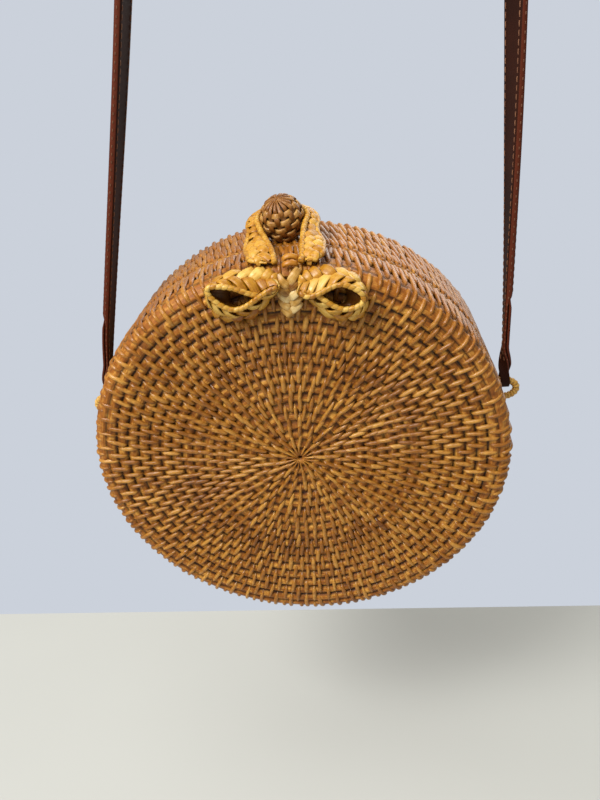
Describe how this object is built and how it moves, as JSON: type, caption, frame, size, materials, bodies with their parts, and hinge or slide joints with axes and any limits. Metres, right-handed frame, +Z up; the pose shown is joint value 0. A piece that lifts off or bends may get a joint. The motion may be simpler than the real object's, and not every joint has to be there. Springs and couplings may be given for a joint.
{
  "type": "round straw handbag",
  "caption": "Round woven straw shoulder bag of two hinged half shells, closed by a ball and a plaited loop under a straw bow, on one long leather strap.",
  "frame": {"origin": "underside of the strap's top, where the bag hangs", "axes": "+Z up along the strap, -Y out of the bag's front face with the bow, +X to the viewer's right"},
  "size_m": [0.2192, 0.0845, 0.6634],
  "materials": {
    "straw": "dry tan plant fibre, coiled and stitched",
    "cane": "brown rush weave over a wooden core",
    "pale_straw": "pale yellow plaited straw, satin",
    "leather": "smooth dark red-brown, worn",
    "cotton": "plain undyed cloth"
  },
  "bodies": {
    "strap": {"strap": "leather"},
    "back_half": {"back_shell": "straw", "back_rim_hoop": "cane", "back_lining": "cotton", "hinge_lashing_left": "pale_straw", "hinge_lashing_middle": "pale_straw", "hinge_lashing_right": "pale_straw", "side_ring_left": "pale_straw", "side_ring_right": "pale_straw", "ball_knob": "cane", "knob_stalk": "cane"},
    "front_half": {"front_shell": "straw", "front_rim_hoop": "cane", "front_lining": "cotton", "bow_loop_left": "pale_straw", "bow_loop_right": "pale_straw", "bow_knot": "pale_straw", "loop_binding": "pale_straw"},
    "clasp": {"closing_loop": "pale_straw"}
  },
  "joints": [
    {"name": "bag_swing", "type": "hinge", "parent": "strap", "child": "back_half", "pos_m": [-0.036, 0, -0.54], "axis": [1, 0, 0], "range_deg": [-45, 45]},
    {"name": "lid_open", "type": "hinge", "parent": "back_half", "child": "front_half", "pos_m": [-0.036, -0.0117, -0.65428], "axis": [1, 0, 0], "range_deg": [0, 75], "deforming": ["closing_loop"]},
    {"name": "clasp_lift", "type": "hinge", "parent": "front_half", "child": "clasp", "pos_m": [-0.0335, -0.037, -0.4623], "axis": [1, 0, 0], "range_deg": [0, 90]}
  ]
}
